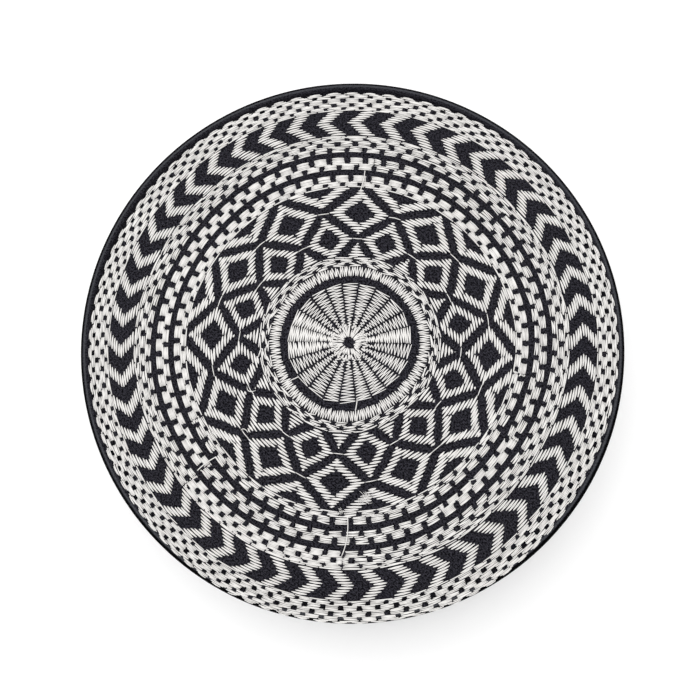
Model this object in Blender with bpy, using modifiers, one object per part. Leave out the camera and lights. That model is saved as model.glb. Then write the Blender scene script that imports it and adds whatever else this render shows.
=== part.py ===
"""A stiff round kufi of black cloth, for a head of medium size.

A domed crown with a turned-down shoulder stands on an upright side band, with a corded piping in the seam
between them, and a bias binding wraps the band's lower edge. The cap is hollow and open below.

Metres, +Z up. The origin is the middle of the hem, on the surface that the cap stands on, and -Y is its front.
"""
import math

import bpy

# The head and the side band
HEAD_GIRTH = 0.570           # round the inside of the hem
BAND_HEIGHT = 0.074          # the wall, from its lower raw edge to its upper one
BAND_WALL = 0.0022           # face cloth, stiffening and backing pressed together
BAND_LEAN = 0.0006           # how much smaller the band's radius is at its top than at its foot

# The binding round the hem
BINDING_THICKNESS = 0.0010
BINDING_HEIGHT = 0.0095      # how far it covers the band, inside and outside
BINDING_ROUNDING = 0.0009    # rounding of its two lower folds

# The piping in the seam
PIPING_RADIUS = 0.0016

# The crown
CROWN_WALL = 0.0022
CROWN_SKIRT = 0.0012         # upright edge of the crown, from the piping up to the shoulder
CROWN_FOLD = 0.0006          # inner radius of the fold where the crown turns down
CROWN_RISE = 0.0220          # the crown's middle above the top of its skirt

# Clearance between sewn pieces
SEAM_GAP = 0.0003

# How finely the round pieces are cut into flat faces
TURN_STEPS = 96
DOME_STEPS = 9
SHOULDER_STEPS = 4
PIPING_SIDES = 12
ROUNDING_STEPS = 2

# Colours from the photograph, as linear values
BLACK_CLOTH = (0.026, 0.024, 0.030, 1.0)
BLACK_PIPING = (0.022, 0.021, 0.025, 1.0)
BLACK_BINDING = (0.020, 0.019, 0.023, 1.0)
CLOTH_ROUGHNESS = 0.85
BINDING_ROUGHNESS = 0.75

# Radii and heights that follow from the sizes above
HEM_INNER_RADIUS = HEAD_GIRTH / (2.0 * math.pi)
LEAN_IN_BINDING = BAND_LEAN * BINDING_HEIGHT / BAND_HEIGHT
BAND_FOOT_RADIUS = HEM_INNER_RADIUS + BINDING_THICKNESS + SEAM_GAP + LEAN_IN_BINDING + BAND_WALL
BAND_TOP_RADIUS = BAND_FOOT_RADIUS - BAND_LEAN
BAND_FOOT_HEIGHT = BINDING_THICKNESS + SEAM_GAP
PIPING_FOOT_HEIGHT = BAND_FOOT_HEIGHT + BAND_HEIGHT + SEAM_GAP
CROWN_FOOT_HEIGHT = PIPING_FOOT_HEIGHT + 2.0 * PIPING_RADIUS + SEAM_GAP
CROWN_RADIUS = BAND_TOP_RADIUS
SHOULDER_RADIUS = CROWN_FOLD + CROWN_WALL
SEAM_RADIUS = BAND_TOP_RADIUS - BAND_WALL / 2.0


def clear_scene():
    """Start from an empty scene."""
    for obj in list(bpy.data.objects):
        bpy.data.objects.remove(obj, do_unlink=True)


def cloth_material(name, colour, roughness):
    """A matt cloth finish."""
    material = bpy.data.materials.new(name)
    material.use_nodes = True
    shader = material.node_tree.nodes["Principled BSDF"]
    shader.inputs["Base Color"].default_value = colour
    shader.inputs["Roughness"].default_value = roughness
    shader.inputs["Metallic"].default_value = 0.0
    return material


def arc(centre, radius, first, last, steps):
    """Points of an arc as (distance from the axis, height); an angle of 0 is straight up, and +90 degrees outwards."""
    points = []
    for step in range(steps + 1):
        angle = first + (last - first) * step / steps
        points.append((centre[0] + radius * math.sin(angle), centre[1] + radius * math.cos(angle)))
    return points


def turned(name, profile, closed, material, collection):
    """Turn a profile, given as (distance from the axis, height), once round the Z axis."""
    count = len(profile)
    edges = [(i, i + 1) for i in range(count - 1)]
    if closed:
        edges.append((count - 1, 0))
    mesh = bpy.data.meshes.new(name)
    mesh.from_pydata([(reach, 0.0, height) for reach, height in profile], edges, [])
    mesh.materials.append(material)
    piece = bpy.data.objects.new(name, mesh)
    collection.objects.link(piece)
    screw = piece.modifiers.new("Turn", "SCREW")
    screw.axis = "Z"
    screw.angle = 2.0 * math.pi
    screw.steps = TURN_STEPS
    screw.render_steps = TURN_STEPS
    screw.use_merge_vertices = True
    screw.merge_threshold = 0.00001
    screw.use_smooth_shade = True
    return piece


def make_side_band(collection):
    """The upright wall: a strip of stiffened cloth sewn into a ring that narrows a little towards the crown."""
    profile = [
        (BAND_TOP_RADIUS, BAND_HEIGHT),
        (BAND_FOOT_RADIUS, 0.0),
        (BAND_FOOT_RADIUS - BAND_WALL, 0.0),
        (BAND_TOP_RADIUS - BAND_WALL, BAND_HEIGHT),
    ]
    material = cloth_material("band_cloth", BLACK_CLOTH, CLOTH_ROUGHNESS)
    band = turned("side_band", profile, True, material, collection)
    band.location.z = BAND_FOOT_HEIGHT
    return band


def make_hem_binding(collection):
    """The bias strip that folds round the band's lower edge; its flat underside is what the cap stands on."""
    outer = BAND_FOOT_RADIUS + SEAM_GAP + BINDING_THICKNESS
    top = BAND_FOOT_HEIGHT + BINDING_HEIGHT
    outer_fold = (outer - BINDING_ROUNDING, BINDING_ROUNDING)
    inner_fold = (HEM_INNER_RADIUS + BINDING_ROUNDING, BINDING_ROUNDING)
    quarter = math.pi / 2.0
    profile = [(outer, top)]
    profile += arc(outer_fold, BINDING_ROUNDING, quarter, 2.0 * quarter, ROUNDING_STEPS)
    profile += arc(inner_fold, BINDING_ROUNDING, 2.0 * quarter, 3.0 * quarter, ROUNDING_STEPS)
    profile += [
        (HEM_INNER_RADIUS, top),
        (HEM_INNER_RADIUS + BINDING_THICKNESS, top),
        (HEM_INNER_RADIUS + BINDING_THICKNESS, BINDING_THICKNESS),
        (outer - BINDING_THICKNESS, BINDING_THICKNESS),
        (outer - BINDING_THICKNESS, top),
    ]
    material = cloth_material("binding_cloth", BLACK_BINDING, BINDING_ROUGHNESS)
    return turned("hem_binding", profile, True, material, collection)


def make_edge_piping(collection):
    """The corded piping, a plain ring that sits in the seam between the band's top and the crown's edge."""
    bpy.ops.mesh.primitive_torus_add(
        major_radius=SEAM_RADIUS,
        minor_radius=PIPING_RADIUS,
        major_segments=TURN_STEPS,
        minor_segments=PIPING_SIDES,
        location=(0.0, 0.0, PIPING_FOOT_HEIGHT + PIPING_RADIUS),
    )
    piping = bpy.context.object
    piping.name = "edge_piping"
    piping.data.name = "edge_piping"
    piping.data.shade_smooth()
    piping.data.materials.append(cloth_material("piping_cloth", BLACK_PIPING, CLOTH_ROUGHNESS))
    for owner in list(piping.users_collection):
        owner.objects.unlink(piping)
    collection.objects.link(piping)
    return piping


def make_crown(collection):
    """The domed top: a shallow spherical cap that runs into a round shoulder and a short upright skirt."""
    shoulder = (CROWN_RADIUS - SHOULDER_RADIUS, CROWN_SKIRT)
    # The dome's radius makes it meet the shoulder's arc without a crease
    dome_radius = (shoulder[0] ** 2 + CROWN_RISE ** 2 - SHOULDER_RADIUS ** 2) / (2.0 * (CROWN_RISE - SHOULDER_RADIUS))
    dome = (0.0, CROWN_SKIRT + CROWN_RISE - dome_radius)
    meeting = math.asin(shoulder[0] / (dome_radius - SHOULDER_RADIUS))
    profile = arc(dome, dome_radius, 0.0, meeting, DOME_STEPS)
    profile += arc(shoulder, SHOULDER_RADIUS, meeting, math.pi / 2.0, SHOULDER_STEPS)[1:]
    profile.append((CROWN_RADIUS, 0.0))
    material = cloth_material("crown_cloth", BLACK_CLOTH, CLOTH_ROUGHNESS)
    crown = turned("crown", profile, False, material, collection)
    wall = crown.modifiers.new("Wall", "SOLIDIFY")
    wall.thickness = CROWN_WALL
    wall.offset = -1.0
    wall.use_even_offset = True
    crown.location.z = CROWN_FOOT_HEIGHT
    return crown


def main():
    clear_scene()
    kufi = bpy.data.collections.new("kufi")
    bpy.context.scene.collection.children.link(kufi)
    stand = bpy.data.objects.new("kufi_origin", None)
    kufi.objects.link(stand)
    for make in (make_side_band, make_hem_binding, make_edge_piping, make_crown):
        make(kufi).parent = stand


main()
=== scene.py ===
# %% [markdown]
# A round black kufi whose crown is covered with off-white machine embroidery.
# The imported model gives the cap's four cloth pieces at their real size. This script dresses them: finer
# cloth surfaces, thread laid stitch by stitch on the cloth, and a finish for each kind of cloth and thread.
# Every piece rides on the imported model's one body, so nothing here has to be fitted afterwards.

import math

import bmesh
import bpy
import numpy as np
from mathutils import Matrix, Vector


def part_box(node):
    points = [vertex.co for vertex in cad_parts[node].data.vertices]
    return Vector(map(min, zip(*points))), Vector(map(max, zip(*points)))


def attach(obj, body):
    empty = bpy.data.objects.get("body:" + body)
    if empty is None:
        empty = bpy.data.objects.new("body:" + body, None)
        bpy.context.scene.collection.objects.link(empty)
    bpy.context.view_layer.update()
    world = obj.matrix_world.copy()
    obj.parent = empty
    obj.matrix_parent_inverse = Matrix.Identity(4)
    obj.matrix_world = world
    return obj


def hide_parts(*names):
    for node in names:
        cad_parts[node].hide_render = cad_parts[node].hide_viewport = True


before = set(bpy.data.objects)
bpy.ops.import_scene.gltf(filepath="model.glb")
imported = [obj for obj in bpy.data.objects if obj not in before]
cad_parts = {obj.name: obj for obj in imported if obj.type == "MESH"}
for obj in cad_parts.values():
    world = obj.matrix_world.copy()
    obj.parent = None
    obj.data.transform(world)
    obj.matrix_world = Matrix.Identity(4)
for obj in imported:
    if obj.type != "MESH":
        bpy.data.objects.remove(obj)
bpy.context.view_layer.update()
BODY = "root"
print("nodes of the frame:", sorted(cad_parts))

# %% [markdown]
# Every size that the cloth and the stitches need comes from the frame's own boxes. A stitch pattern is
# easier to think about in millimetres, so this script works in them, and multiplies by MM where a mesh is
# written.

# %% Sizes, in millimetres
MM = 0.001


def cad_size(node):
    """Outer radius, lowest and highest point of a round CAD node."""
    low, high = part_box(node)
    return high.x / MM, low.z / MM, high.z / MM


crown_radius, crown_foot, crown_top = cad_size("crown")
piping_outer, piping_low, piping_high = cad_size("edge_piping")
band_foot_radius, band_foot, band_top = cad_size("side_band")
binding_radius, floor_height, binding_top = cad_size("hem_binding")

CLOTH_WALL = 2.2             # crown and side band, face cloth and stiffening together
CROWN_SKIRT = 1.2            # upright edge of the crown below its shoulder
SHOULDER_RADIUS = 2.8        # outer rounding where the crown turns down
BAND_LEAN = 0.6              # how much smaller the band's radius is at its top
BINDING_WALL = 1.0
BINDING_FOLD = 0.9           # outer rounding of the binding's two lower folds
SEAM_GAP = 0.3

shoulder_reach = crown_radius - SHOULDER_RADIUS
shoulder_height = crown_foot + CROWN_SKIRT
crown_rise = crown_top - shoulder_height
dome_squares = shoulder_reach**2 + crown_rise**2 - SHOULDER_RADIUS**2
dome_radius = dome_squares / (2 * (crown_rise - SHOULDER_RADIUS))
dome_centre = crown_top - dome_radius
shoulder_start = math.asin(shoulder_reach / (dome_radius - SHOULDER_RADIUS))
dome_edge = dome_radius * math.sin(shoulder_start)
piping_radius = (piping_high - piping_low) / 2
band_top_radius = band_foot_radius - BAND_LEAN
binding_inner = band_foot_radius - CLOTH_WALL - SEAM_GAP - BINDING_WALL
print(f"crown radius {crown_radius:.2f} mm, dome radius {dome_radius:.1f}, top at {crown_top:.1f}")

# %% [markdown]
# The photograph looks down on the crown from a little in front of it. The camera stands in the same place
# over the cap: 560 mm up and 64 mm in front of the middle, which makes an elevation of about 82 degrees.
# It comes early, because everything that follows is judged through it.

# %% Camera
CAMERA_PLACE = (13.92, -63.9, 560.0)
CAMERA_LOOKS_THROUGH = (-0.43, -1.01, 79.1)
CAMERA_LENS = 72.2
SENSOR_WIDTH = 36.0
CLIP_RANGE = (0.01, 20.0)    # metres

camera_data = bpy.data.cameras.new("camera")
camera_data.lens = CAMERA_LENS
camera_data.sensor_width = SENSOR_WIDTH
camera = bpy.data.objects.new("camera", camera_data)
bpy.context.scene.collection.objects.link(camera)
camera_view = (Vector(CAMERA_LOOKS_THROUGH) - Vector(CAMERA_PLACE)).normalized()
camera_right = camera_view.cross(Vector((0.0, 1.0, 0.0))).normalized()
camera_up = camera_right.cross(camera_view)
camera_turn = Matrix((camera_right, camera_up, -camera_view)).transposed()
camera.location = Vector(CAMERA_PLACE) * MM
camera.rotation_euler = camera_turn.to_euler()
camera_data.clip_start, camera_data.clip_end = CLIP_RANGE
bpy.context.scene.camera = camera
print(f"camera elevation {math.degrees(math.asin(-camera_view.z)):.1f} degrees")

# %% [markdown]
# Shader maths reads best as plain expressions. The class below wraps one socket of a material, so that
# adding, multiplying or dividing two of them adds the Math node for it. All other nodes come from one
# method, add, which takes the node's type, its settings and the values or links of its sockets.


# %% A helper for materials
class Wire:
    """One socket of a material, on which Python's arithmetic adds Math nodes."""

    def __init__(self, finish, socket):
        self.finish = finish
        self.socket = socket

    def maths(self, operation, *values):
        return self.finish.add("ShaderNodeMath", {"operation": operation}, dict(enumerate(values)))

    def __add__(self, other):
        return self.maths("ADD", self, other)

    def __radd__(self, other):
        return self.maths("ADD", other, self)

    def __sub__(self, other):
        return self.maths("SUBTRACT", self, other)

    def __rsub__(self, other):
        return self.maths("SUBTRACT", other, self)

    def __mul__(self, other):
        return self.maths("MULTIPLY", self, other)

    def __rmul__(self, other):
        return self.maths("MULTIPLY", other, self)

    def __truediv__(self, other):
        return self.maths("DIVIDE", self, other)

    def __rtruediv__(self, other):
        return self.maths("DIVIDE", other, self)

    def sine(self):
        return self.maths("SINE", self)

    def absolute(self):
        return self.maths("ABSOLUTE", self)

    def between(self, low, high):
        """0 below low, 1 above high and a straight ramp from one to the other."""
        sockets = {"Value": self, "From Min": low, "From Max": high}
        return self.finish.add("ShaderNodeMapRange", {"clamp": True}, sockets)


class Finish:
    """A material that is built up node by node."""

    def __init__(self, name, **constants):
        self.material = bpy.data.materials.new(name)
        self.material.use_nodes = True
        self.tree = self.material.node_tree
        self.shader = self.tree.nodes["Principled BSDF"]
        for socket, value in constants.items():
            self.shader.inputs[socket.replace("_", " ")].default_value = value

    def add(self, kind, settings=None, sockets=None, output=0):
        """A node of this kind, as the wire of one of its outputs."""
        node = self.tree.nodes.new(kind)
        for setting, value in (settings or {}).items():
            setattr(node, setting, value)
        for socket, value in (sockets or {}).items():
            if isinstance(value, Wire):
                self.tree.links.new(value.socket, node.inputs[socket])
            else:
                node.inputs[socket].default_value = value
        return Wire(self, node.outputs[output])

    def noise(self, vector, scale, detail=2.0, roughness=0.5):
        """Noise with this many lumps in a unit of the vector."""
        sockets = {"Vector": vector, "Scale": scale, "Detail": detail, "Roughness": roughness}
        return self.add("ShaderNodeTexNoise", {"noise_dimensions": "3D"}, sockets)

    def blend(self, share, first, second):
        """A mix of two colours, each given as numbers or as a wire."""
        sockets = {0: share, 6: first, 7: second}
        return self.add("ShaderNodeMix", {"data_type": "RGBA"}, sockets, output=2)

    def length(self, vector):
        return self.add("ShaderNodeVectorMath", {"operation": "LENGTH"}, {0: vector}, output="Value")

    def axis(self, vector, name):
        return self.add("ShaderNodeSeparateXYZ", {}, {0: vector}, output="XYZ".index(name))

    def bump(self, height, distance, strength):
        sockets = {"Height": height, "Distance": distance, "Strength": strength}
        return self.add("ShaderNodeBump", {}, sockets)

    def use(self, **wires):
        """Link wires to sockets of the shader."""
        for socket, wire in wires.items():
            self.tree.links.new(wire.socket, self.shader.inputs[socket.replace("_", " ")])
        return self.material


print("material helper ready")

# %% [markdown]
# The cap's cloth is a fine black cotton twill. On the real cloth each diagonal rib is a row of yarn floats,
# about 0.6 mm apart. Two sine waves on the cloth's own flat coordinates make it: one across the ribs, and a
# finer one along them that breaks each rib into floats. They feed the bump and, with a grain of about the
# same size, the colour. Along the crown's folded edge a paler ridge is painted into the colour, a painted
# highlight where the rounded fold faces the light. Below the fold, where it turns away from the light, and
# in the thin line beside the embroidery, painted shade makes the cloth nearly black. The cloth's coordinates
# come from a UV map in millimetres, so that the weave follows the cloth round its folds.

# %% Cloth finishes
TURN = 2 * math.pi
DIAGONAL = math.sqrt(2)
RIB_PITCH = 0.62
FLOAT_PITCH = 0.34
TWILL_RELIEF = 0.00008       # metres
DEEP_BLACK = (0.0002, 0.0002, 0.0005, 1.0)
WORN_BLACK = (0.032, 0.031, 0.039, 1.0)
# painted highlight for the ridge of the crown's folded edge
PAINTED_HIGHLIGHT_BLACK = (0.062, 0.064, 0.071, 1.0)

# Zones of painted shade along a fold, counted outwards from the middle of its painted highlight in halves of
# its width
TURNED_AWAY = (0.8, 1.5)
BESIDE_THREAD_OUTER = (-1.4, -3.2)
BESIDE_THREAD_INNER = (-9.0, -8.0)
BESIDE_THREAD_SHADE = 0.6


def twill(name, dark, light, roughness=0.85, fold=None):
    """Black twill: ribs and floats in the bump, grain and dye in the colour, and a fold with a painted
    highlight and painted shade if given.
    """
    cloth = Finish(name, Specular_IOR_Level=0.01)
    flat = cloth.add("ShaderNodeUVMap", {"uv_map": "cloth"})
    across = cloth.axis(flat, "X")
    up = cloth.axis(flat, "Y")
    waver = cloth.noise(flat, 0.35) * 0.5
    rib = ((across + up) * (TURN / (RIB_PITCH * DIAGONAL)) + waver * TURN).sine() * 0.5 + 0.5
    float_wave = ((across - up) * (TURN / (FLOAT_PITCH * DIAGONAL))).sine() * 0.5 + 0.5
    weave = rib * 0.7 + rib * float_wave * 0.3
    dye = cloth.noise(flat, 0.03, detail=3.0)
    grain = cloth.noise(flat, 1.6, detail=2.0, roughness=0.7).between(0.38, 0.62)
    shade = weave * 0.2 + dye * 0.1 + grain * 0.7
    colour = cloth.blend(shade.between(0.2, 0.8), dark, light)
    if fold:
        middle, half, painted_highlight, shaded = fold
        beyond = (cloth.length(flat) - middle) / half
        # Painted highlight on the fold's ridge; painted shade below it, where it turns from the light, and
        # beside the thread.
        painted_highlight_share = beyond.absolute().between(1.0, 0.0) * (grain * 0.4 + 0.6)
        colour = cloth.blend(painted_highlight_share, colour, painted_highlight)
        beside_thread = beyond.between(*BESIDE_THREAD_OUTER) * beyond.between(*BESIDE_THREAD_INNER)
        in_shade = beyond.between(*TURNED_AWAY) + beside_thread * BESIDE_THREAD_SHADE
        colour = cloth.blend(in_shade, colour, shaded)
    relief = cloth.bump(weave + grain * 0.5, TWILL_RELIEF, 0.55)
    dull = cloth.noise(flat, 0.12).between(0.3, 0.7) * 0.1 + (roughness - 0.05)
    return cloth.use(Base_Color=colour, Roughness=dull, Normal=relief)


# Where on the shoulder the fold's painted highlight lies, how far along the cloth that is, and half the width
# of its ridge
FOLD_ANGLE = math.radians(25.0)
FOLD_LENGTH = dome_radius * shoulder_start + SHOULDER_RADIUS * (FOLD_ANGLE - shoulder_start)
FOLD_HALF_WIDTH = 0.65
CROWN_FOLD = (FOLD_LENGTH, FOLD_HALF_WIDTH, PAINTED_HIGHLIGHT_BLACK, DEEP_BLACK)

crown_cloth = twill("black_twill_crown", DEEP_BLACK, WORN_BLACK, fold=CROWN_FOLD)
band_cloth = twill("black_twill_band", DEEP_BLACK, WORN_BLACK)
# The piping's cloth is darker than the crown's: painted shade, for the shadow it lies in under the crown's
# fold.
piping_cloth = twill("shaded_black_twill_piping", (0.0005, 0.0005, 0.001, 1.0), (0.010, 0.010, 0.013, 1.0))
binding_cloth = twill("black_bias_strip", (0.0005, 0.0005, 0.001, 1.0), (0.026, 0.026, 0.032, 1.0), 0.75)
print("cloth finishes:", crown_cloth.name, band_cloth.name, piping_cloth.name, binding_cloth.name)

# %% [markdown]
# The embroidery thread is thick off-white cotton of two plies. Its own UV map runs along it in millimetres
# and once round it from 0 to 1, so a sine of both together winds round the thread as the plies do.
# Each stitch also carries one random number, its tint, because hand-guided machine work takes up light
# unevenly. The same map tells how far round the thread a point is. Its lower sides are darker, as they are
# between threads that lie close, where little light comes in.

# %% Thread finishes
PLY_TURN = 1.1
PLIES = 2
THREAD_RELIEF = 0.00005      # metres
SHADOW = 0.1                 # how bright a thread's lower sides are, as a share of its dark colour


def thread(name, dark, light, roughness):
    """Twisted thread: plies in the bump, a tint for each stitch and soft unevenness along it."""
    yarn = Finish(name, Sheen_Weight=0.05, Sheen_Roughness=0.4, Specular_IOR_Level=0.25)
    along = yarn.add("ShaderNodeUVMap", {"uv_map": "thread"})
    length = yarn.axis(along, "X")
    round_it = yarn.axis(along, "Y")
    tint = yarn.add("ShaderNodeAttribute", {"attribute_name": "tint"}, output=2)
    ply = ((length / PLY_TURN + round_it) * (PLIES * TURN)).sine() * 0.5 + 0.5
    place = yarn.add("ShaderNodeTexCoord", output=3)
    fibre = yarn.noise(place, 5200.0, detail=3.0, roughness=0.6)
    soil = yarn.noise(place, 60.0, detail=2.0)
    shade = tint * 0.45 + ply * 0.25 + fibre * 0.15 + soil * 0.15
    lit = (round_it * TURN).sine().between(-0.5, 0.6)
    shadowed = [channel * SHADOW for channel in dark[:3]] + [1.0]
    colour = yarn.blend(lit, shadowed, yarn.blend(shade, dark, light))
    relief = yarn.bump(ply + fibre * 0.4, THREAD_RELIEF, 0.5)
    dull = tint * 0.12 + roughness
    return yarn.use(Base_Color=colour, Roughness=dull, Normal=relief)


white_thread = thread("off_white_thread", (0.575, 0.557, 0.538, 1.0), (0.83, 0.816, 0.796, 1.0), 0.5)
black_thread = thread("black_sewing_thread", (0.012, 0.012, 0.014, 1.0), (0.045, 0.043, 0.050, 1.0), 0.45)
print("thread finishes:", white_thread.name, black_thread.name)

# %% [markdown]
# Every cloth piece of the cap is round, so each is a profile of a few points that bmesh spins once round
# the axis. The spin merges its own seam, and the normals are recalculated while the shape is still a simple
# closed ring. The UV map named cloth is written from each point's place along the profile and round the
# axis, in millimetres.


# %% Turned cloth
MERGE_DISTANCE = 0.000002    # metres


def arc(centre, radius, first, last, steps):
    """Points of an arc as (distance from the axis, height). Its angles count outwards from straight up."""
    angles = [first + (last - first) * step / steps for step in range(steps + 1)]
    return [(centre[0] + radius * math.sin(a), centre[1] + radius * math.cos(a)) for a in angles]


def profile_lengths(profile):
    """How far along the profile each of its points lies."""
    lengths = [0.0]
    for here, there in zip(profile, profile[1:]):
        lengths.append(lengths[-1] + math.dist(here, there))
    return lengths


def spin_profile(profile, steps, closed):
    """A bmesh of the profile turned once round the Z axis, with each vertex's place along the profile."""
    shape = bmesh.new()
    run = shape.verts.layers.float.new("run")
    chain = []
    for (reach, height), length in zip(profile, profile_lengths(profile)):
        vertex = shape.verts.new((reach * MM, 0.0, height * MM))
        vertex[run] = length
        chain.append(vertex)
    pairs = list(zip(chain, chain[1:]))
    if closed:
        pairs.append((chain[-1], chain[0]))
    edges = [shape.edges.new(pair) for pair in pairs]
    bmesh.ops.spin(
        shape, geom=chain + edges, axis=(0, 0, 1), cent=(0, 0, 0), angle=TURN, steps=steps, use_merge=True
    )
    bmesh.ops.remove_doubles(shape, verts=shape.verts, dist=MERGE_DISTANCE)
    bmesh.ops.recalc_face_normals(shape, faces=shape.faces)
    return shape, run


def write_flat_map(shape, run, around_radius, dome):
    """The cloth UV map: polar on a dome, whose cloth is one flat disc, and unrolled on an upright ring."""
    flat = shape.loops.layers.uv.new("cloth")
    for face in shape.faces:
        middle = math.atan2(face.calc_center_median().y, face.calc_center_median().x)
        for loop in face.loops:
            length = loop.vert[run]
            angle = math.atan2(loop.vert.co.y, loop.vert.co.x)
            if dome:
                loop[flat].uv = (length * math.cos(angle), length * math.sin(angle))
            else:
                turned = middle + math.remainder(angle - middle, TURN)
                loop[flat].uv = (turned * around_radius, length)


def make_piece(name, shape, material, replaces=None):
    """Turn a bmesh into a finished piece that rides on the cap."""
    mesh = bpy.data.meshes.new(name)
    shape.to_mesh(mesh)
    shape.free()
    mesh.materials.append(material)
    mesh.shade_smooth()
    return place_piece(name, mesh, replaces)


def place_piece(name, mesh, replaces=None):
    piece = bpy.data.objects.new(name, mesh)
    bpy.context.scene.collection.objects.link(piece)
    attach(piece, BODY)
    if replaces:
        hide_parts(replaces)
    triangles = sum(len(face.vertices) - 2 for face in mesh.polygons)
    print(f"{name}: {triangles} triangles")
    return piece


print("turning helpers ready")

# %% [markdown]
# The crown is cut from one round of stiffened cloth and pressed over a block: a shallow dome that turns
# down over a small shoulder. Its profile runs from the middle of the dome to the edge of the skirt.
# Under all that embroidery the cloth isn't perfectly even, so the dome gets shallow swells of about a tenth
# of a millimetre. One function gives them to the cloth and to the stitches alike, so both stay together.

# %% The crown's surface
SWELL_COLUMNS = ("lobes in a turn", "height", "start in radians")
SWELLS = ((3, 0.14, 0.9), (5, 0.09, 2.1), (8, 0.06, 4.0))
SWELL_TWIST = 3.0            # radians by which the lobes turn from the middle to the shoulder
EDGE_MARGIN = 0.05           # stitches stay this far inside the crown's widest ring


def swell(reach, angle):
    """Height of the dome's shallow unevenness, which dies out in the middle and at the shoulder."""
    share = np.clip(reach / dome_edge, 0.0, 1.0)
    fade = np.sin(np.pi * share)
    twist = SWELL_TWIST * share
    rise = sum(size * np.cos(lobes * angle + start + twist) for lobes, size, start in SWELLS)
    return rise * fade


def on_crown(x, y):
    """Points and outward normals on the crown's cloth over the plan places x, y."""
    reach = np.minimum(np.hypot(x, y), crown_radius - EDGE_MARGIN)
    angle = np.arctan2(y, x)
    on_dome = reach < dome_edge
    over_dome = np.sqrt(np.maximum(dome_radius**2 - reach**2, 0.0))
    over_shoulder = np.sqrt(np.maximum(SHOULDER_RADIUS**2 - (reach - shoulder_reach) ** 2, 0.0))
    dome_high = dome_centre + over_dome + swell(reach, angle)
    height = np.where(on_dome, dome_high, shoulder_height + over_shoulder)
    tilt_out = np.where(on_dome, reach / dome_radius, (reach - shoulder_reach) / SHOULDER_RADIUS)
    tilt_up = np.sqrt(1.0 - tilt_out**2)
    points = np.stack([reach * np.cos(angle), reach * np.sin(angle), height], -1)
    normals = np.stack([tilt_out * np.cos(angle), tilt_out * np.sin(angle), tilt_up], -1)
    return points, normals


CROWN_STEPS = 256
DOME_STEPS = 40
SHOULDER_STEPS = 10
QUARTER = math.pi / 2
shoulder_middle = (shoulder_reach, shoulder_height)
dome_profile = arc((0.0, dome_centre), dome_radius, 0.0, shoulder_start, DOME_STEPS)
shoulder_profile = arc(shoulder_middle, SHOULDER_RADIUS, shoulder_start, QUARTER, SHOULDER_STEPS)
crown_profile = dome_profile + shoulder_profile[1:] + [(crown_radius, crown_foot)]
crown_shape, crown_run = spin_profile(crown_profile, CROWN_STEPS, closed=False)
for vertex in crown_shape.verts:
    reach = math.hypot(vertex.co.x, vertex.co.y) / MM
    if reach < dome_edge:
        vertex.co.z += float(swell(reach, math.atan2(vertex.co.y, vertex.co.x))) * MM
write_flat_map(crown_shape, crown_run, crown_radius, dome=True)
crown_cloth_piece = make_piece("crown_cloth", crown_shape, crown_cloth, "crown")
crown_wall = crown_cloth_piece.modifiers.new("Wall", "SOLIDIFY")
crown_wall.thickness = CLOTH_WALL * MM
crown_wall.offset = -1.0
crown_wall.use_even_offset = True

# %% [markdown]
# The side band is a strip of the same cloth, sewn into a ring behind. It leans inwards by half a
# millimetre. The binding is a bias strip folded round the band's lower edge, so its profile is a U that the
# cap stands on. The piping is a cord wrapped in a bias strip. A torus is its profile spun round, and the
# fine diagonal ribs of the wrapping come from the cloth finish.

# %% Side band, binding and piping
RING_STEPS = 192
BAND_STEPS = 12
PIPING_SIDES = 20
EDGE_ROUNDING = 0.5
BINDING_EDGE = 0.3           # chamfer of the binding's upper outer edge
BINDING_FACE = 6.0           # height of the outer face's upper part, which is cut into a few steps
BINDING_FACE_STEPS = 4
BINDING_FOLD_STEPS = 6


def upright_ring(name, profile, material, replaces, around_radius):
    shape, run = spin_profile(profile, RING_STEPS, closed=True)
    write_flat_map(shape, run, around_radius, dome=False)
    return make_piece(name, shape, material, replaces)


def between(first, last, steps):
    """Points on a straight line between two points of a profile, both included."""
    shares = [step / steps for step in range(steps + 1)]
    return [tuple(a + (b - a) * share for a, b in zip(first, last)) for share in shares]


band_corners = (
    (band_top_radius, band_top - EDGE_ROUNDING),
    (band_foot_radius, band_foot),
    (band_foot_radius - CLOTH_WALL, band_foot),
    (band_top_radius - CLOTH_WALL, band_top),
)
band_profile = between(*band_corners[:2], BAND_STEPS) + between(*band_corners[2:], BAND_STEPS)
band_profile.append((band_top_radius - EDGE_ROUNDING, band_top))
upright_ring("side_band_cloth", band_profile, band_cloth, "side_band", band_foot_radius)

outer_fold = (binding_radius - BINDING_FOLD, floor_height + BINDING_FOLD)
inner_fold = (binding_inner + BINDING_FOLD, floor_height + BINDING_FOLD)
face_top = (binding_radius, binding_top - BINDING_EDGE)
face_foot = (binding_radius, binding_top - BINDING_FACE)
binding_profile = between(face_top, face_foot, BINDING_FACE_STEPS)
binding_profile += arc(outer_fold, BINDING_FOLD, QUARTER, 2 * QUARTER, BINDING_FOLD_STEPS)
binding_profile += arc(inner_fold, BINDING_FOLD, 2 * QUARTER, 3 * QUARTER, BINDING_FOLD_STEPS)
binding_profile += [
    (binding_inner, binding_top),
    (binding_inner + BINDING_WALL, binding_top),
    (binding_inner + BINDING_WALL, floor_height + BINDING_WALL),
    (binding_radius - BINDING_WALL, floor_height + BINDING_WALL),
    (binding_radius - BINDING_WALL, binding_top),
    (binding_radius - BINDING_EDGE, binding_top),
]
upright_ring(
    "hem_binding_cloth", binding_profile, binding_cloth, "hem_binding", binding_radius
)

piping_middle = (piping_outer - piping_radius, (piping_low + piping_high) / 2)
piping_profile = arc(piping_middle, piping_radius, 0.0, TURN, PIPING_SIDES)[:-1]
upright_ring("edge_piping_cloth", piping_profile, piping_cloth, "edge_piping", piping_outer)

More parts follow.
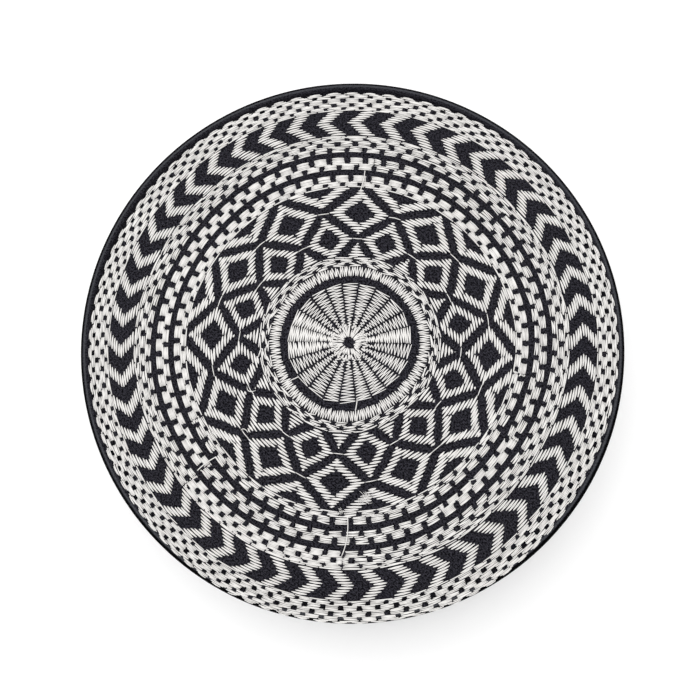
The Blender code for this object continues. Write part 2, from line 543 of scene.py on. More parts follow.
# %% [markdown]
# All embroidery here is one stitch repeated thousands of times: a short length of thread that comes up
# through the cloth, lies on it and goes down again. It is modelled once, from a small circle that is
# extruded ring by ring, and kept to a few dozen faces, because it is repeated so often. Extruding leaves
# the last end inside the thread, so that face is taken out each time, and the stitch is a closed shape with
# nothing in it.
# Its length runs from 0 to 1 along X, and it is one unit wide. Arrays then lay a copy between each pair of
# points.


# %% One stitch
STITCH_SIDES = 5
RING_COLUMNS = ("place", "rise", "width")
STITCH_RINGS = (
    (0.00, -0.55, 0.35),
    (0.07, 0.14, 0.75),
    (0.50, 0.48, 1.00),
    (0.93, 0.14, 0.75),
    (1.00, -0.55, 0.35),
)


def model_stitch(rings):
    """A unit stitch. Its rings are given as (place along it, rise of its middle, share of its full width)."""
    shape = bmesh.new()
    place, rise, width = rings[0]
    bmesh.ops.create_circle(shape, cap_ends=True, segments=STITCH_SIDES, radius=width / 2)
    bmesh.ops.rotate(shape, verts=shape.verts, cent=(0, 0, 0), matrix=Matrix.Rotation(math.pi / 2, 3, "Y"))
    bmesh.ops.translate(shape, verts=shape.verts, vec=(place, 0, rise))
    shape.faces.ensure_lookup_table()
    first_end = end = shape.faces[0]
    for last, ring in zip(rings, rings[1:]):
        grown = bmesh.ops.extrude_face_region(shape, geom=[end])["geom"]
        if end is not first_end:
            bmesh.ops.delete(shape, geom=[end], context="FACES_ONLY")
        end = next(item for item in grown if isinstance(item, bmesh.types.BMFace))
        middle = Vector((last[0], 0, last[1]))
        spread = ring[2] / last[2]
        bmesh.ops.scale(shape, verts=end.verts, vec=(1, spread, spread), space=Matrix.Translation(-middle))
        bmesh.ops.translate(shape, verts=end.verts, vec=(ring[0] - last[0], 0, ring[1] - last[1]))
    bmesh.ops.recalc_face_normals(shape, faces=shape.faces)
    return shape


class Stitch:
    """A unit stitch as arrays: its points, its faces, and how far round the thread each face corner lies."""

    def __init__(self, rings):
        shape = model_stitch(rings)
        shape.verts.index_update()
        self.points = np.array([vertex.co[:] for vertex in shape.verts])
        self.sizes = np.array([len(face.verts) for face in shape.faces])
        self.corners = np.array([loop.vert.index for face in shape.faces for loop in face.loops])
        heights = np.interp(self.points[:, 0], [r[0] for r in rings], [r[1] for r in rings])
        turn = np.arctan2(self.points[:, 2] - heights, self.points[:, 1]) / TURN
        places = []
        for face in shape.faces:
            marks = np.array([turn[loop.vert.index] for loop in face.loops])
            places.append(marks - np.round(marks - marks[0]))
        self.round_places = np.concatenate(places)
        shape.free()


short_stitch = Stitch(STITCH_RINGS)
print(f"one stitch has {len(short_stitch.sizes)} faces")

# %% [markdown]
# Laying the stitches is one piece of array work. For each stitch, each corner of the unit stitch is moved
# along the line between the stitch's two ends, sideways by the thread's width and up from the cloth. A
# surface function says where that point of the cloth is and which way is out. All stitches of one zone
# become one joined mesh.


# %% Laying stitches on cloth
STITCH_COLUMNS = ("x0", "y0", "x1", "y1", "width", "lift", "bow")
THREAD_FLATNESS = 0.85


def lay_stitches(name, rows, surface, material, seed, unit=short_stitch):
    """Join a copy of the unit stitch for each row of the table into one piece."""
    table = np.array(rows)
    x0, y0, x1, y1, width, lift, bow = (table[:, [column]] for column in range(len(STITCH_COLUMNS)))
    length = np.hypot(x1 - x0, y1 - y0)
    side_x = -(y1 - y0) / length
    side_y = (x1 - x0) / length
    along, sideways, rise = (unit.points[None, :, axis] for axis in range(3))
    arch = 4.0 * along * (1.0 - along)
    shift = sideways * width + arch * bow
    x = x0 + (x1 - x0) * along + side_x * shift
    y = y0 + (y1 - y0) * along + side_y * shift
    points, normals = surface(x, y)
    up = rise * width * THREAD_FLATNESS + lift * arch
    places = (points + normals * up[..., None]) * MM
    count, size = len(table), len(unit.points)
    corners = (unit.corners[None, :] + np.arange(count)[:, None] * size).ravel()
    face_sizes = np.tile(unit.sizes, count)
    mesh = bpy.data.meshes.new(name)
    mesh.vertices.add(count * size)
    mesh.vertices.foreach_set("co", places.astype(np.float32).ravel())
    mesh.loops.add(len(corners))
    mesh.loops.foreach_set("vertex_index", corners.astype(np.int32))
    mesh.polygons.add(len(face_sizes))
    starts = np.concatenate([[0], np.cumsum(face_sizes)[:-1]])
    mesh.polygons.foreach_set("loop_start", starts.astype(np.int32))
    mesh.update(calc_edges=True)
    mesh.validate()
    flat = mesh.uv_layers.new(name="thread")
    lengths = length * unit.points[None, unit.corners, 0]
    rounds = np.broadcast_to(unit.round_places, lengths.shape)
    flat.data.foreach_set("uv", np.stack([lengths, rounds], -1).astype(np.float32).ravel())
    tint = mesh.attributes.new("tint", "FLOAT", "POINT")
    chance = np.random.default_rng(seed)
    tint.data.foreach_set("value", np.repeat(chance.random(count), size).astype(np.float32))
    mesh.materials.append(material)
    mesh.shade_smooth()
    print(f"{name}: {count} stitches")
    return place_piece(name, mesh)


# %% [markdown]
# The crown's pattern is a set of rings round a middle that lies 1.5 mm nearer the front than the crown's
# own. A person guided the cloth under the needle, so the rings wander by up to a millimetre, and the
# repeats drift by a degree or two. Both are kept as a few slow waves, in tables with a row for each wave,
# as measured in the photograph. Angles are in degrees, clockwise from the back of the cap, as the
# photograph shows them from its top.

# %% The pattern's middle, its wander and its drift
PATTERN_MIDDLE = (-0.03, -1.47)
WAVE_COLUMNS = ("waves in a turn", "cosine size at each distance", "sine size at each distance")
WANDER_REACHES = (2, 22, 35, 45, 57, 63, 70, 79, 88)
WANDER = (
    (
        1,
        (0, 0.03, -0.36, -0.41, -0.35, -0.32, -0.25, -0.19, -0.45),
        (0, -0.03, 0.04, 0.05, 0.06, 0.13, 0.12, 0.32, 0.47),
    ),
    (
        2,
        (0, -0.27, -0.38, -0.33, -0.11, 0.02, 0.19, 0.47, 0.60),
        (0, 0.32, 0.24, 0.28, 0.33, 0.34, 0.37, 0.21, 0.17),
    ),
    (
        3,
        (0, -0.12, -0.26, -0.30, -0.36, -0.38, -0.37, -0.42, -0.45),
        (0, -0.15, -0.09, -0.20, -0.18, -0.19, -0.12, -0.08, -0.04),
    ),
    (
        4,
        (0, 0.15, 0.26, 0.31, 0.40, 0.42, 0.39, 0.25, 0.12),
        (0, 0.10, 0.09, -0.03, -0.08, -0.13, -0.16, -0.15, -0.22),
    ),
    (
        6,
        (0, 0.00, -0.07, -0.12, -0.17, -0.17, -0.17, -0.17, -0.17),
        (0, 0.00, -0.01, -0.02, -0.03, -0.03, -0.03, -0.03, -0.03),
    ),
)
DRIFT_REACHES = (22, 35, 45, 57, 63, 70, 79, 88)
DRIFT = (
    (
        1,
        (-0.10, -0.51, -0.68, -0.85, -0.91, -1.09, -1.33, -1.59),
        (0.25, 0.60, 0.71, 0.60, 0.56, 0.47, 0.26, 0.15),
    ),
    (
        2,
        (0.08, 0.25, 0.30, 0.44, 0.54, 0.63, 0.77, 0.86),
        (0.35, 0.38, 0.26, 0.23, 0.24, 0.26, 0.44, 0.62),
    ),
    (
        3,
        (-0.20, -0.23, -0.29, -0.32, -0.38, -0.41, -0.42, -0.47),
        (0.43, 0.32, 0.29, 0.23, 0.24, 0.25, 0.21, 0.22),
    ),
    (
        4,
        (0.00, 0.00, 0.00, 0.00, -0.07, -0.09, -0.10, -0.16),
        (-0.05, -0.08, -0.05, 0.02, 0.04, 0.09, 0.16, 0.22),
    ),
)


def waves(table, reaches, angle, reach):
    """The sum of a table's waves at an angle in degrees and a distance from the middle."""
    total = 0.0
    for count, cosines, sines in table:
        turn = np.radians(count * angle)
        cosine_size = np.interp(reach, reaches, cosines)
        sine_size = np.interp(reach, reaches, sines)
        total = total + cosine_size * np.cos(turn) + sine_size * np.sin(turn)
    return total


def crown_place(turn, reach):
    """Plan place of a point of the pattern, given by its own angle and distance from the pattern's middle."""
    angle = turn + waves(DRIFT, DRIFT_REACHES, turn, reach)
    out = reach + waves(WANDER, WANDER_REACHES, angle, reach)
    radians = np.radians(angle)
    return PATTERN_MIDDLE[0] + out * np.sin(radians), PATTERN_MIDDLE[1] + out * np.cos(radians)


print("pattern placed at", crown_place(0.0, 20.0))

# %% [markdown]
# A ring of the pattern is stitched in rows that run round it. A row shows white wherever the pattern is
# white, so it is cut into stretches, and each stretch is one stitch, or a few where it would be longer than
# a machine makes. The pattern itself is a rule: at each distance from the middle it says which angles are
# white.
# In the star and the arrows the thread goes out and comes back in each row. Its two passes part a little in
# the middle and meet in one needle hole at each end, which gives the motifs their saw-toothed edges.

# %% Rows of stitches
ANGLE_STEP = 0.05
ANGLES = np.arange(0.0, 360.0, ANGLE_STEP)
LONGEST_STITCH = 6.6
SHORTEST_STITCH = 0.45

# How much a stitch strays by chance
CUT_SPREAD = 0.25            # of a cut's place, as a share of a stitch
WIDTH_SPREAD = 0.06          # of a thread's width, as a share of it
LIFT_SPREAD = 0.04           # of its height over the cloth
BOW_SPREAD = 0.02            # of its bow to one side


def degrees_to_mm(reach):
    return reach * math.pi / 180.0


def from_nearest(angles, repeats, phase):
    """Signed distance in degrees from the nearest of a number of even repeats."""
    pitch = 360.0 / repeats
    return (angles - phase + pitch / 2) % pitch - pitch / 2


def stretches(white):
    """Each white stretch of a row as its first and last angle. A stretch may pass 360."""
    if white.all():
        return [(0.0, 360.0)]
    changes = np.flatnonzero(np.diff(white.astype(int), append=int(white[0])))
    starts = [i for i in changes if not white[i]]
    ends = [i for i in changes if white[i]]
    if not starts:
        return []
    if ends[0] < starts[0]:
        ends = ends[1:] + [ends[0] + len(white)]
    return [((start + 1) * ANGLE_STEP, (end + 1) * ANGLE_STEP) for start, end in zip(starts, ends)]


def cut_up(first, last, scale, longest, chance):
    """Cut a stretch into stitches of a length that the machine can make."""
    length = (last - first) * scale
    if length < SHORTEST_STITCH:
        return []
    count = max(1, math.ceil(length / longest))
    marks = np.linspace(first, last, count + 1)
    if count > 1:
        marks[1:-1] += chance.uniform(-CUT_SPREAD, CUT_SPREAD, count - 1) * (last - first) / count
        if last - first >= 360.0:
            marks = marks + chance.uniform(0.0, 360.0)
            marks[-1] = marks[0] + 360.0
    return list(zip(marks, marks[1:]))


class Look:
    """How the rows of one zone are sewn, in millimetres.

    A row has one thread of this width, or two that lie half_gap from the row's middle and close up by the
    share pinch at their ends. Its stitches end raggedly, tilt across the row, slant by chance and spread to
    its sides.
    """

    def __init__(
        self,
        width,
        half_gap=0.0,
        pinch=0.0,
        ragged=0.08,
        tilt=0.0,
        slant=0.04,
        spread=0.04,
        longest=LONGEST_STITCH,
    ):
        self.width = width
        self.half_gap = half_gap
        self.pinch = pinch
        self.sides = (-1, 1) if half_gap else (1,)
        self.ragged = ragged
        self.tilt = tilt
        self.slant = slant
        self.spread = spread
        self.longest = longest


def rows_of(reaches, white, look, chance, place=crown_place, scale_at=degrees_to_mm):
    """Stitch rows at each distance from the middle, where white(distance, angles) says that they show."""
    table = []
    for reach in reaches:
        scale = scale_at(reach)
        for start, end in stretches(white(reach, ANGLES)):
            for first, last in cut_up(start, end, scale, look.longest, chance):
                lean = look.tilt + chance.normal(0.0, look.slant)
                shift = chance.normal(0.0, look.spread)
                for side in look.sides:
                    ends = chance.normal(0.0, look.ragged, 2) / scale
                    apart = side * look.half_gap
                    tip = reach + shift + apart * (1.0 - look.pinch)
                    x0, y0 = place(first + ends[0], tip - lean)
                    x1, y1 = place(last + ends[1], tip + lean)
                    wide = look.width * chance.normal(1.0, WIDTH_SPREAD)
                    bow = apart * look.pinch + chance.normal(0.0, BOW_SPREAD)
                    table.append((x0, y0, x1, y1, wide, abs(chance.normal(0.0, LIFT_SPREAD)), bow))
    return table


def even_rows(first, last, pitch):
    """Distances of evenly spaced rows from first to last, as near to the pitch as fits."""
    count = max(1, round((last - first) / pitch))
    return np.linspace(first, last, count + 1)


print("row helpers ready")

# %% [markdown]
# Outside the star the crown has three white strips between two black rings, then the arrows, then rows of
# checks up to a scalloped edge. The black dots and teeth are plain gaps in the rows: bare cloth that shows
# where no thread lies. A table gives each ring of gaps: from where to where it reaches, how many there are
# in a turn, the angle of the first one, its width in millimetres at its inner and outer end, and how far it
# leans from one to the other. Parts of the strips are sewn so closely that no slit shows between the
# threads. A second table says where.

# %% Gaps in the strips
GAP_COLUMNS = ("inner", "outer", "in a turn", "first angle", "inner width", "outer width", "lean")
STRIP_GAPS = (
    (54.80, 56.20, 61, 4.15, 1.40, 1.55, 0.25),
    (56.60, 59.20, 61, 1.08, 1.55, 1.55, 0.00),
    (60.50, 62.55, 67, 2.80, 1.10, 1.75, 0.25),
    (63.00, 65.80, 67, 0.05, 1.70, 1.70, 0.00),
    (66.80, 68.95, 74, 0.05, 1.15, 1.75, 0.25),
    (69.40, 71.20, 74, 2.41, 1.75, 1.75, 0.00),
    (71.60, 72.55, 74, 4.95, 1.90, 0.90, -0.60),
)
CHECK_GAPS = (
    (83.80, 85.10, 91, 3.55, 1.00, 1.40, 0.20),
    (85.20, 86.70, 91, 1.45, 1.55, 1.55, 0.00),
    (87.20, 88.70, 91, 3.55, 1.60, 1.60, 0.15),
    (88.86, 89.95, 91, 1.45, 1.60, 1.30, 0.00),
    (90.40, 91.20, 91, 3.50, 0.60, 3.80, 0.00),
)
CORNER_ROUNDING = 0.22


def clear_of(gaps, reach, angles, scale_at=degrees_to_mm):
    """True where no gap of the table interrupts a row. A gap is a little narrower at both its ends."""
    white = np.ones(len(angles), bool)
    for inner, outer, repeats, phase, first_width, last_width, lean in gaps:
        if inner <= reach <= outer:
            share = (reach - inner) / (outer - inner)
            width = first_width + (last_width - first_width) * share
            width = width * (1.0 - CORNER_ROUNDING * abs(2 * share - 1) ** 3)
            distance = from_nearest(angles, repeats, phase) * scale_at(reach) - lean * (share - 0.5)
            white &= np.abs(distance) > width / 2
    return white


STRIP_COLUMNS = ("first row", "last row", "pitch")
STRIPS = ((54.62, 58.52, 0.433), (61.03, 64.93, 0.433), (67.38, 73.18, 0.446))
CLOSE_COLUMNS = ("inner", "outer", "first angle", "last angle")
CLOSELY_SEWN = (
    (54.0, 59.0, 245.0, 460.0),
    (60.5, 65.5, 120.0, 150.0),
    (60.5, 65.5, 230.0, 368.0),
    (67.0, 73.5, 180.0, 230.0),
)
CLOSE_LOOK = Look(0.51, ragged=0.07, slant=0.02, spread=0.02)
OPEN_LOOK = Look(0.43, ragged=0.12, slant=0.11, spread=0.06)


def closely_sewn(reach, angles):
    close = np.zeros(len(angles), bool)
    for inner, outer, first, last in CLOSELY_SEWN:
        if inner <= reach <= outer:
            close |= (angles - first) % 360.0 < last - first
    return close


def close_strips(reach, angles):
    return clear_of(STRIP_GAPS, reach, angles) & closely_sewn(reach, angles)


def open_strips(reach, angles):
    return clear_of(STRIP_GAPS, reach, angles) & ~closely_sewn(reach, angles)


chance = np.random.default_rng(11)
strip_rows = np.concatenate([even_rows(*strip) for strip in STRIPS])
strip_table = rows_of(strip_rows, close_strips, CLOSE_LOOK, chance)
strip_table += rows_of(strip_rows, open_strips, OPEN_LOOK, chance)
lay_stitches("embroidery_ring_strips", strip_table, on_crown, white_thread, 21)

# %% [markdown]
# The arrows are black: bare cloth between white bands of rows. Each has a point on its leading side and a
# notch behind it. The table gives, at three distances from the middle, from where to where the black
# reaches, in degrees from the point.

# %% Arrows
ARROWS_IN_A_TURN = 47
ARROW_POINT = 3.74
ARROW_COLUMNS = ("distance", "black from", "black to")
ARROW = (
    (74.05, 3.60, 7.40),
    (78.60, 0.00, 4.25),
    (82.85, 3.24, 7.36),
)


def arrows_white(reach, angles):
    distances, firsts, lasts = zip(*ARROW)
    first = np.interp(reach, distances, firsts)
    last = np.interp(reach, distances, lasts)
    behind = (angles - ARROW_POINT) % (360.0 / ARROWS_IN_A_TURN)
    black = ((behind > first) & (behind < last)) | (behind + 360.0 / ARROWS_IN_A_TURN < last)
    return ~black


PAIR_PITCH = 0.88            # from one pair of threads to the next
ARROW_LOOK = Look(0.40, half_gap=0.195, pinch=0.95, ragged=0.20, tilt=0.06, slant=0.06)
arrow_rows = even_rows(ARROW[0][0], ARROW[-1][0], PAIR_PITCH)
chance = np.random.default_rng(12)
arrow_table = rows_of(arrow_rows, arrows_white, ARROW_LOOK, chance)
lay_stitches("embroidery_arrows", arrow_table, on_crown, white_thread, 22)

# %% [markdown]
# The outermost ring is sewn like the strips, in single threads, with four rows of black checks. A fifth row
# of wide gaps cuts the edge into scallops. Only the last two threads reach into it, so the scallops stay
# shallow.

# %% Checks up to the scalloped edge
CHECK_LOOK = Look(0.43, ragged=0.09, slant=0.08)
CHECK_ROWS = (83.6, 90.9, 0.406)


def checks_white(reach, angles):
    return clear_of(CHECK_GAPS, reach, angles)


chance = np.random.default_rng(13)
check_table = rows_of(even_rows(*CHECK_ROWS), checks_white, CHECK_LOOK, chance)
lay_stitches("embroidery_checks", check_table, on_crown, white_thread, 23)

# %% [markdown]
# The star between the medallion and the strips is a lattice of two rings of twelve diamonds with black
# hearts, and white triangles that fill in between. Each motif is a short table down its own middle line: at
# each distance from the pattern's middle, how far its white reaches to each side, and how far its black
# heart does, in degrees.

# %% Diamonds and triangles of the star
MOTIFS_IN_A_TURN = 12
INNER_PHASE = 19.7
OUTER_PHASE = 4.8
MOTIF_COLUMNS = ("distance", "white half width", "black half width")
INNER_DIAMOND = (
    (29.4, 1.4, 0.0),
    (30.4, 2.9, 0.0),
    (32.6, 7.0, 0.0),
    (33.4, 8.4, 1.9),
    (35.2, 11.0, 5.1),
    (36.1, 12.4, 5.5),
    (37.3, 9.5, 4.2),
    (39.1, 6.8, 1.7),
    (40.2, 5.1, 0.0),
    (41.8, 2.8, 0.0),
    (43.6, 0.9, 0.0),
    (44.5, 0.4, 0.0),
)
INNER_TRIANGLE = (
    (29.4, 6.2, 0.0),
    (30.4, 5.1, 0.0),
    (33.1, 1.4, 0.0),
    (34.2, 0.4, 0.0),
)
OUTER_DIAMOND = (
    (37.7, 0.4, 0.0),
    (38.6, 1.7, 0.0),
    (41.7, 6.8, 0.0),
    (42.4, 7.8, 1.9),
    (44.6, 11.0, 5.7),
    (45.6, 12.6, 6.3),
    (46.9, 10.0, 4.3),
    (49.6, 5.2, 0.0),
    (51.4, 2.7, 0.0),
    (53.5, 0.4, 0.0),
)
OUTER_TRIANGLE = (
    (47.8, 0.8, 0.0),
    (49.3, 3.5, 0.0),
    (51.2, 7.1, 0.0),
    (52.0, 8.2, 2.3),
    (53.2, 10.0, 4.7),
    (54.3, 11.3, 5.7),
)
STAR = (
    (INNER_DIAMOND, INNER_PHASE),
    (INNER_TRIANGLE, OUTER_PHASE),
    (OUTER_DIAMOND, OUTER_PHASE),
    (OUTER_TRIANGLE, INNER_PHASE),
)


def star_white(reach, angles):
    white = np.zeros(len(angles), bool)
    for motif, phase in STAR:
        distances, whites, blacks = zip(*motif)
        aside = np.abs(from_nearest(angles, MOTIFS_IN_A_TURN, phase))
        reach_out = np.interp(reach, distances, whites, left=0.0, right=0.0)
        heart = np.interp(reach, distances, blacks, left=0.0, right=0.0)
        white |= (aside < reach_out) & (aside >= heart)
    return white


# Short threads that join the side corners of neighbouring diamonds
NODE_COLUMNS = ("distance", "angle of the first", "half length in degrees")
NODE_THREADS = ((36.1, OUTER_PHASE, 2.7), (45.75, INNER_PHASE, 2.6))
NODE_WIDTH = 0.34
NODE_LIFT = 0.15
NODE_SPREAD = 0.15
NODE_BOW_SPREAD = 0.1
STAR_LOOK = Look(0.42, half_gap=0.20, pinch=0.95, ragged=0.20, slant=0.09)
STAR_ROWS = ((30.37, 45.65, 0.955), (46.48, 53.95, 0.83))
chance = np.random.default_rng(14)
star_rows = np.concatenate([even_rows(*rows) for rows in STAR_ROWS])
star_table = rows_of(star_rows, star_white, STAR_LOOK, chance)
for reach, phase, half in NODE_THREADS:
    for number in range(MOTIFS_IN_A_TURN):
        turn = phase + number * 360.0 / MOTIFS_IN_A_TURN
        start = crown_place(turn - half, reach + chance.normal(0.0, NODE_SPREAD))
        end = crown_place(turn + half, reach + chance.normal(0.0, NODE_SPREAD))
        star_table.append((*start, *end, NODE_WIDTH, NODE_LIFT, chance.normal(0.0, NODE_BOW_SPREAD)))
lay_stitches("embroidery_star", star_table, on_crown, white_thread, 24)

# %% [markdown]
# The medallion in the middle is a wheel of twenty-two wedges. The thread of each wedge goes to and fro
# between two spokes, so it meets itself in a needle hole at each turn and bare cloth shows between the
# turns and along the spokes. A short list gives the thread's advance at each turn, wedge by wedge; four are
# filled tightly. The hub in the middle is two rings of stitches that point outwards. Round the wheel runs a
# black ring, then a satin ring sewn to and fro, and beyond it two rows of dots where the star begins.

# %% Medallion
WEDGES = 22
FIRST_SPOKE = 9.6
CLOSEST_ADVANCE = 0.425      # a wedge whose thread advances less than this is filled tightly
WEDGE_ADVANCES = (
    0.45, 0.50, 0.47, 0.53, 0.37, 0.52, 0.46, 0.52, 0.46, 0.43, 0.50,
    0.45, 0.53, 0.47, 0.55, 0.39, 0.35, 0.42, 0.58, 0.53, 0.51, 0.51,
)
WEDGE_INNER = 5.4
WEDGE_OUTER = 20.15
SPOKE_HALF = 0.0             # how far the holes of an openly filled wedge stay from its spoke
TIGHT_HALF = -0.24           # the same in a tight wedge, whose thread covers its spokes
LOOSE_WIDTH = 0.35
TIGHT_WIDTH = 0.43
SPOKE_SPREAD = 0.35          # degrees
HOLE_SPREAD = 0.1
INSET_SPREAD = 0.15
FLARE = (0.25, 7.5, 1.6)     # the spokes are wider near the hub: by how much, where, over what span
TURN_LIFT = 0.05
TURN_BOW_SPREAD = 0.04


def wedge_rows(chance):
    table = []
    flare_size, flare_middle, flare_span = FLARE
    even_spokes = FIRST_SPOKE + np.arange(WEDGES + 1) * 360.0 / WEDGES
    spokes = even_spokes + chance.normal(0.0, SPOKE_SPREAD, WEDGES + 1)
    spokes[-1] = spokes[0] + 360.0
    for wedge, advance in enumerate(WEDGE_ADVANCES):
        tight = advance < CLOSEST_ADVANCE
        width = TIGHT_WIDTH if tight else LOOSE_WIDTH
        holes = even_rows(WEDGE_INNER, WEDGE_OUTER, advance)
        holes = holes + chance.normal(0.0, HOLE_SPREAD, len(holes))
        flare = flare_size * np.exp(-(((holes - flare_middle) / flare_span) ** 2))
        half = (TIGHT_HALF if tight else SPOKE_HALF) + flare
        insets = (half + np.abs(chance.normal(0.0, INSET_SPREAD, len(holes)))) / degrees_to_mm(holes)
        sides = np.where(np.arange(len(holes)) % 2 == 0, spokes[wedge] + insets, spokes[wedge + 1] - insets)
        for here in range(len(holes) - 1):
            start = crown_place(sides[here], holes[here])
            end = crown_place(sides[here + 1], holes[here + 1])
            if math.dist(start, end) > SHORTEST_STITCH:
                wide = width * chance.normal(1.0, WIDTH_SPREAD)
                table.append((*start, *end, wide, TURN_LIFT, chance.normal(0.0, TURN_BOW_SPREAD)))
    return table


# Angles of a pair of stitches in the hub, in shares of the step from one pair to the next
HUB_START = 0.06             # half the angle between their inner ends
HUB_TIP = 0.25               # half the angle between their tips
HUB_PAIR_SPREAD = 0.10
HUB_TIP_SPREAD = 0.07
HUB_BOW_SPREAD = 0.03        # millimetres


def spokes_of_thread(count, inner, outer, width, ragged, chance):
    """Pairs of stitches that point outwards round the middle; each pair parts from one needle hole."""
    table = []
    pitch = 360.0 / count
    for number in range(count):
        turn = (number + chance.normal(0.0, HUB_PAIR_SPREAD)) * pitch
        hole = inner + chance.normal(0.0, ragged)
        for side in (-1, 1):
            start = crown_place(turn + HUB_START * side * pitch, hole)
            tip = turn + HUB_TIP * side * pitch + chance.normal(0.0, HUB_TIP_SPREAD) * pitch
            end = crown_place(tip, outer + chance.normal(0.0, ragged))
            wide = width * chance.normal(1.0, WIDTH_SPREAD)
            table.append((*start, *end, wide, TURN_LIFT, chance.normal(0.0, HUB_BOW_SPREAD)))
    return table


SATIN_ANGLE_SPREAD = 0.36    # share of half a turn of the thread
SATIN_WIDTH_SPREAD = 0.08


def satin_ring(count, inner, outer, width, ragged, chance):
    """A ring sewn to and fro between needle holes along its inner and its outer edge."""
    holes = np.arange(2 * count + 1)
    turns = (holes + chance.normal(0.0, SATIN_ANGLE_SPREAD, len(holes))) * 180.0 / count
    edges = np.where(holes % 2 == 0, inner, outer) + chance.normal(0.0, ragged, len(holes))
    turns[-1] = turns[0] + 360.0
    edges[-1] = edges[0]
    table = []
    for here in range(2 * count):
        start = crown_place(turns[here], edges[here])
        end = crown_place(turns[here + 1], edges[here + 1])
        wide = width * chance.normal(1.0, SATIN_WIDTH_SPREAD)
        table.append((*start, *end, wide, TURN_LIFT, chance.normal(0.0, TURN_BOW_SPREAD)))
    return table


THREAD_RING_COLUMNS = ("pairs or turns", "inner", "outer", "width", "ragged")
HUB_RINGS = (
    (22, 1.9, 4.3, 0.48, 0.20),
    (30, 3.7, 6.1, 0.42, 0.40),
)
SATIN_RING = (194, 22.5, 26.15, 0.365, 0.16)
DOT_ROWS = (26.4, 29.4, 0.44)
DOT_GAPS = (
    (26.2, 27.3, 30, 10.83, 1.80, 1.80, 0.0),
    (27.5, 28.9, 30, 4.95, 1.95, 1.95, 0.0),
)
DOT_ROW_LOOK = Look(0.43, ragged=0.26, slant=0.24, spread=0.09, longest=4.2)


def dots_white(reach, angles):
    return clear_of(DOT_GAPS, reach, angles)


chance = np.random.default_rng(15)
medallion_table = []
for hub_ring in HUB_RINGS:
    medallion_table += spokes_of_thread(*hub_ring, chance)
medallion_table += wedge_rows(chance)
medallion_table += satin_ring(*SATIN_RING, chance)
medallion_table += rows_of(even_rows(*DOT_ROWS), dots_white, DOT_ROW_LOOK, chance)
lay_stitches("embroidery_medallion", medallion_table, on_crown, white_thread, 25)

# %% [markdown]
# A few threads have worked loose, or jump from one motif to the next across a black ring. They make the
# piece look handled rather than printed. Each lies a little above the rest, and the longest one bows across
# the inner ring.

# %% Loose threads
LONG_STEPS = 12
LONG_RISE = 0.48             # of the middle, as in the short stitch
LONG_DROP = 1.08             # from there to the ends
LONG_SHARE = 0.8             # of the full width
LONG_PLACES = [step / LONG_STEPS for step in range(LONG_STEPS + 1)]
LONG_RINGS = [(place, LONG_RISE - LONG_DROP * abs(2 * place - 1) ** 8, LONG_SHARE) for place in LONG_PLACES]
long_stitch = Stitch(LONG_RINGS)
LOOSE_COLUMNS = ("first angle", "first distance", "last angle", "last distance", "width", "lift", "bow")
LOOSE_THREADS = (
    (171.5, 19.0, 174.5, 22.8, 0.45, 0.5, 0.1),
    (236.0, 19.8, 237.5, 22.8, 0.45, 0.4, 0.1),
    (4.5, 53.0, 5.5, 60.9, 0.45, 0.6, -0.3),
    (179.2, 55.8, 180.4, 69.1, 0.42, 0.6, 0.9),
    (230.2, 57.8, 230.8, 66.2, 0.45, 0.5, -0.3),
    (120.8, 60.8, 138.5, 60.4, 0.45, 0.7, 3.0),
    (243.5, 34.5, 248.0, 36.5, 0.40, 0.9, 1.2),
    (229.0, 44.5, 232.0, 46.0, 0.40, 0.8, -0.9),
)
TUFT_COLUMNS = ("angle", "distance", "fibres", "longest")
TUFTS = ((172.8, 50.6, 22, 3.2), (181.2, 54.2, 9, 1.6))
FIBRE_WIDTH = 0.20
FIBRE_LENGTHS = (0.5, 1.0)   # shares of the longest
FIBRE_LIFTS = (0.3, 0.9)
FIBRE_BOW_SPREAD = 0.3
loose_table = []
for first, inner, last, outer, width, lift, bow in LOOSE_THREADS:
    loose_table.append((*crown_place(first, inner), *crown_place(last, outer), width, lift, bow))
chance = np.random.default_rng(17)
for turn, reach, fibres, longest in TUFTS:
    x, y = crown_place(turn, reach)
    for number in range(fibres):
        heading = chance.uniform(0.0, TURN)
        length = longest * chance.uniform(*FIBRE_LENGTHS)
        end = (x + length * math.cos(heading), y + length * math.sin(heading))
        lift = chance.uniform(*FIBRE_LIFTS)
        loose_table.append((x, y, *end, FIBRE_WIDTH, lift, chance.normal(0.0, FIBRE_BOW_SPREAD)))
lay_stitches("embroidery_loose_threads", loose_table, on_crown, white_thread, 26, long_stitch)

# %% [markdown]
# The photograph doesn't show the side band. It is finished plainly in the crown's own manner: a border of
# checks below the piping and another above the binding, with one ring of the same arrows between them.
# On the band a place is a distance round it and a height, and the same row helper cuts its rows into
# stitches.


# %% Side band embroidery
def upright(foot_radius, lean):
    """Surface of an upright ring. A place on it is a distance round it from the front and a height."""

    def surface(around, height):
        angle = around / foot_radius
        share = np.clip((height - band_foot) / (band_top - band_foot), 0.0, 1.0)
        reach = foot_radius - lean * share
        outwards = np.stack([np.sin(angle), -np.cos(angle), 0.0 * angle], -1)
        return outwards * reach[..., None] + np.stack([0.0 * angle, 0.0 * angle, height], -1), outwards

    return surface


on_band = upright(band_foot_radius, BAND_LEAN)
on_binding = upright(binding_radius, 0.0)


def band_place(turn, height):
    """Place on the band of a point given by its angle and height, in the manner of crown_place."""
    return turn * band_scale(height), height


def band_scale(height):
    return degrees_to_mm(band_foot_radius)


